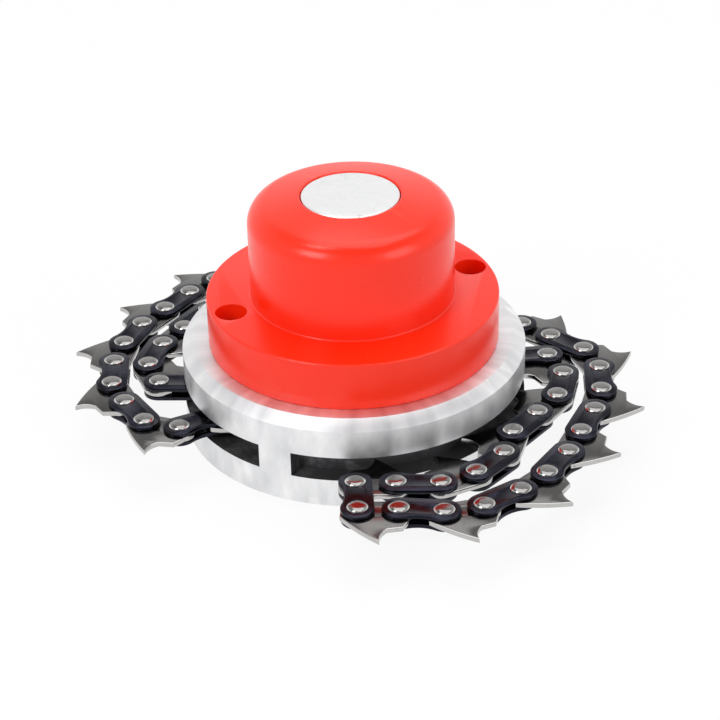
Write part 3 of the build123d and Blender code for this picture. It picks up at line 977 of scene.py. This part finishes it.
def placeScrews(master, name, spots, seat, upwards, node):
    # Copies of one screw, joined as one piece
    copies = []
    for spot in spots:
        onlySelect(master)
        bpy.ops.object.duplicate()
        screw = bpy.context.object
        screw.location = (spot.x, spot.y, seat)
        screw.rotation_euler = (0 if upwards else pi, 0, 0.4 * len(copies))
        bpy.ops.object.transform_apply(location=True, rotation=True)
        copies.append(screw)
    bpy.data.objects.remove(master)
    piece = joinWith(*copies)
    piece.name = name
    finishPiece(piece, "root", "hardware_steel", [node], paint["screw"])


def makeScrews():
    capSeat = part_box("cap_screws")[1].z - screwSizes["cap"]["headHeight"]
    spots = [exitWay * farScrew.length, -exitWay * farScrew.length]
    capScrew = makeScrew("capScrew", screwSizes["cap"])
    placeScrews(capScrew, "capScrews", spots, capSeat, True, "cap_screws")
    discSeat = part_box("disc_screws")[0].z + screwSizes["disc"]["headHeight"]
    discScrew = makeScrew("discScrew", screwSizes["disc"])
    placeScrews(discScrew, "discScrews", discScrewSpots(), discSeat, False, "disc_screws")


makeCap()
print("cap turned")
makeDiscs()
print("discs cut")
makeHub()
makeScrews()
print("hub and screws made")

# Chain

chain = {
    "strapEnd": 3.8 * mm,
    "strapWaist": 2.7 * mm,
    "strapThickness": 1.05 * mm,
    "strapGap": 0.1 * mm,
    "strapEdge": 0.2 * mm,
    "cutterEnd": 3.8 * mm,
    "cutterThickness": 1.2 * mm,
    "cutterEdge": 0.14 * mm,
    "rivetRadius": 1.8 * mm,
    "rivetHead": 2.375 * mm,
    "rivetHeight": 0.6 * mm,
    "rivetRim": 0.12 * mm,
    "holeGap": 0.05 * mm,  # the cutters turn on the rivets with this
    "pressGap": 0.02 * mm,  # the straps don't turn on them
    "postRadius": 3.0 * mm,
    "postOffset": 7.15 * mm,
    # tooth, from the middle of the rivet line: along the link, and out from it
    "tip": (0.4 * mm, -10.9 * mm),
    "hook": (0.75 * mm, -8.4 * mm),
    "gullet": (2.1 * mm, -6.5 * mm),
    "back": (-4.0 * mm, -7.0 * mm),
    # these two are reckoned along the link from the rivets
    "ledge": (1.0 * mm, -5.9 * mm),
    "heel": (-3.9 * mm, -1.9 * mm),
    "toeAngle": -50.0,
}


def arcThrough(first, middle, last, steps):
    # Points on the circle through three points, the first one left out
    (ax, ay), (bx, by), (cx, cy) = first, middle, last
    d = 2 * (ax * (by - cy) + bx * (cy - ay) + cx * (ay - by))
    a2, b2, c2 = ax * ax + ay * ay, bx * bx + by * by, cx * cx + cy * cy
    ux = (a2 * (by - cy) + b2 * (cy - ay) + c2 * (ay - by)) / d
    uy = (a2 * (cx - bx) + b2 * (ax - cx) + c2 * (bx - ax)) / d
    start = atan2(ay - uy, ax - ux)
    sweep = atan2(cy - uy, cx - ux) - start
    through = atan2(by - uy, bx - ux) - start
    sweep, through = sweep % (2 * pi), through % (2 * pi)
    if through > sweep:
        sweep -= 2 * pi
    radius = hypot(ax - ux, ay - uy)
    turns = [start + sweep * i / steps for i in range(1, steps + 1)]
    return [(ux + radius * cos(t), uy + radius * sin(t)) for t in turns]


def strapOutline(pitch):
    # Round ends, straight on one side and joined on the teeth's side by a hollow arc
    half, end, waist = pitch / 2, chain["strapEnd"], chain["strapWaist"]
    hollow = (half**2 + waist**2 - end**2) / (2 * (end - waist))
    touch = degrees(atan2(waist + hollow, half))
    right = arc((half, 0), end, touch - 180, 90, 24)
    left = arc((-half, 0), end, 90, 360 - touch, 24)
    waistline = arc((0, -waist - hollow), hollow, 180 - touch, touch, 12)[1:-1]
    return right + left + waistline


def cutterOutline(pitch):
    # A flat inner side, round ends, and a hooked tooth on the outer side
    half, low = pitch / 2, chain["cutterEnd"]
    ledge = (half + chain["ledge"][0], chain["ledge"][1])
    heel = (chain["heel"][0] - half, chain["heel"][1])
    points = [(half - 0.5 * pitch * i / 4, low) for i in range(9)]
    points += arc((-half, 0), low, 90, 180, 10)[1:] + [heel]
    points += arcThrough(heel, chain["back"], chain["tip"], 14)
    points += arcThrough(points[-1], chain["hook"], chain["gullet"], 8)
    points += [ledge]
    points += arc((half, 0), low, chain["toeAngle"], 90, 16)[:-1]
    return points


def ringOutline(x, radius, steps=32):
    return [(x + radius * cos(2 * pi * i / steps), -radius * sin(2 * pi * i / steps)) for i in range(steps)]


def stampPlate(name, outlines, thickness, edge, height):
    # A flat stamping: its outlines are drawn as a filled curve, thickened, with rounded edges
    bpy.ops.object.select_all(action="DESELECT")
    bpy.ops.curve.primitive_bezier_circle_add()
    drawn = bpy.context.object
    curve = drawn.data
    curve.splines.clear()
    curve.dimensions = "2D"
    curve.fill_mode = "BOTH"
    curve.extrude = thickness / 2 - edge
    curve.bevel_depth = edge
    curve.bevel_resolution = 1
    curve.offset = -edge
    for outline in outlines:
        spline = curve.splines.new("POLY")
        spline.points.add(len(outline) - 1)
        for point, (x, y) in zip(spline.points, outline):
            point.co = (x, y, 0, 1)
        spline.use_cyclic_u = True
    drawn.location = (0, 0, height)
    bpy.ops.object.convert(target="MESH")
    piece = bpy.context.object
    piece.name = name
    bpy.ops.object.transform_apply(location=True, rotation=True, scale=True)
    bpy.ops.object.mode_set(mode="EDIT")
    bpy.ops.mesh.select_all(action="SELECT")
    bpy.ops.mesh.remove_doubles(threshold=0.000001)
    bpy.ops.mesh.normals_make_consistent(inside=False)
    bpy.ops.object.mode_set(mode="OBJECT")
    return piece


def makeRivet(x):
    # A shank between two domed heads, each with a narrow rim
    under = chain["cutterThickness"] / 2 + chain["strapGap"] + chain["strapThickness"] + chain["pressGap"]
    head, rim, tall = chain["rivetHead"], chain["rivetRim"], chain["rivetHeight"]
    crown, rise = head - 0.5 * rim, tall - 1.5 * rim
    # from under the head's edge up to the middle of its dome
    half = [(chain["rivetRadius"], under), (head, under), (head, under + rim)]
    shares = (1.0, 0.9, 0.8, 0.68, 0.54, 0.38, 0.2, 0.06)
    half += [(crown * share, under + tall - rise * share**4) for share in shares]
    rings = [(r, -z) for r, z in reversed(half)] + half
    piece = turnPart("rivet", rings, 40)
    piece.location = (x, 0, 0)
    onlySelect(piece)
    bpy.ops.object.transform_apply(location=True)
    return piece


def makeStrapMaster(pitch):
    half = pitch / 2
    hole = chain["rivetRadius"] + chain["pressGap"]
    outlines = [strapOutline(pitch), ringOutline(-half, hole), ringOutline(half, hole)]
    middle = chain["cutterThickness"] / 2 + chain["strapGap"] + chain["strapThickness"] / 2
    plates = [stampPlate("plate", outlines, chain["strapThickness"], chain["strapEdge"], level)
              for level in (middle, -middle)]
    rivets = [makeRivet(x) for x in (-half, half)]
    for plate in plates:
        plate.data.materials.append(paint["strap"])
    for rivet in rivets:
        rivet.data.materials.append(paint["rivet"])
    return smoothShade(joinWith(plates[0], plates[1], *rivets), 35)


def makeCutterMaster(pitch):
    half = pitch / 2
    hole = chain["rivetRadius"] + chain["holeGap"]
    outlines = [cutterOutline(pitch), ringOutline(-half, hole), ringOutline(half, hole)]
    piece = stampPlate("cutter", outlines, chain["cutterThickness"], chain["cutterEdge"], 0)
    piece.data.materials.append(paint["cutter"])
    piece.data.materials.append(paint["edge"])
    for face in piece.data.polygons:
        face.material_index = 1 if abs(face.normal.z) < 0.95 else 0
    layFlatMap(piece)
    return smoothShade(piece, 35)


def layFlatMap(piece):
    # A plan map in centimetres, which stays with the piece when it is copied and turned
    layer = piece.data.uv_layers.active or piece.data.uv_layers.new(name="plan")
    for corner in piece.data.loops:
        spot = piece.data.vertices[corner.vertex_index].co
        layer.data[corner.index].uv = (spot.x * 100, spot.y * 100)


def placeLink(master, name, start, end):
    # A copy of a master link, laid from one rivet to the next
    onlySelect(master)
    bpy.ops.object.duplicate()
    piece = bpy.context.object
    piece.name = name
    middle = (start + end) / 2
    piece.location = (middle.x, middle.y, partingZ)
    piece.rotation_euler = (0, 0, atan2(end.y - start.y, end.x - start.x))
    bpy.ops.object.transform_apply(location=True, rotation=True)
    return piece


hinges = {joint["child"]: Vector(joint["pos_m"][:2]) for joint in frame["joints"]}


def findRivets(side, turn):
    # All rivets of a loop: the tip's, the outer run inwards, round the post, the inner run outwards
    outer = [f"{side}_outer_{kind}_{n}" for n in range(1, 8) for kind in ("cutter", "strap")][:-1]
    inner = [f"{side}_inner_{kind}_{n}" for n in range(1, 6) for kind in ("strap", "cutter")]
    inner.append(f"{side}_tip_strap")
    low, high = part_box(f"{side}_tip_strap")
    tip = (low + high).xy - hinges[inner[-1]]
    way = Vector((cos(exitAngle + turn), sin(exitAngle + turn)))
    across = Vector((-way.y, way.x))
    entry = hinges[inner[0]]
    mirrored = entry - across * (2 * entry.dot(across))
    low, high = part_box("chain_posts")
    postDistance = (high.xy - Vector((chain["postRadius"], chain["postRadius"]))).length
    back = way * (postDistance - chain["postOffset"])
    half = (hinges[inner[1]] - entry).length / 2
    anchor = [mirrored, back + across * half, back - across * half, entry]
    outer.reverse()
    rivets = [tip] + [hinges[node] for node in outer] + anchor + [hinges[node] for node in inner[1:]]
    return rivets, outer + [None] * 4 + inner


def makeChain():
    first, second, third = findRivets("right", 0)[0][:3]
    cutterMaster = makeCutterMaster((second - first).length)
    strapMaster = makeStrapMaster((third - second).length)
    for side, turn in (("right", 0), ("left", pi)):
        rivets, names = findRivets(side, turn)
        trapped = []
        for index, node in enumerate(names):
            start, end = rivets[index], rivets[(index + 1) % len(rivets)]
            master = strapMaster if index % 2 else cutterMaster
            if node is None:
                trapped.append(placeLink(master, "trapped", start, end))
                continue
            words = node.split("_")[1:]
            piece = placeLink(master, side + "".join(word.capitalize() for word in words), start, end)
            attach(piece, node)
            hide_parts(node)
            piece.data.name = piece.name
        anchor = joinWith(*trapped)
        anchor.name = f"{side}AnchorLinks"
        finishPiece(anchor, "root", "strap_steel", [f"{side}_anchor_links"])
        print(side, "chain laid:", len(names), "links")
    bpy.data.objects.remove(strapMaster)
    bpy.data.objects.remove(cutterMaster)


makeChain()

# What stays as the frame has it

for node in ("hub_key", "hub_washer", "hub_nut", "chain_posts"):
    carried = frame["nodes"][node]
    carried.data.materials.clear()
    carried.data.materials.append(paint["screw"])

print("all pieces in place")
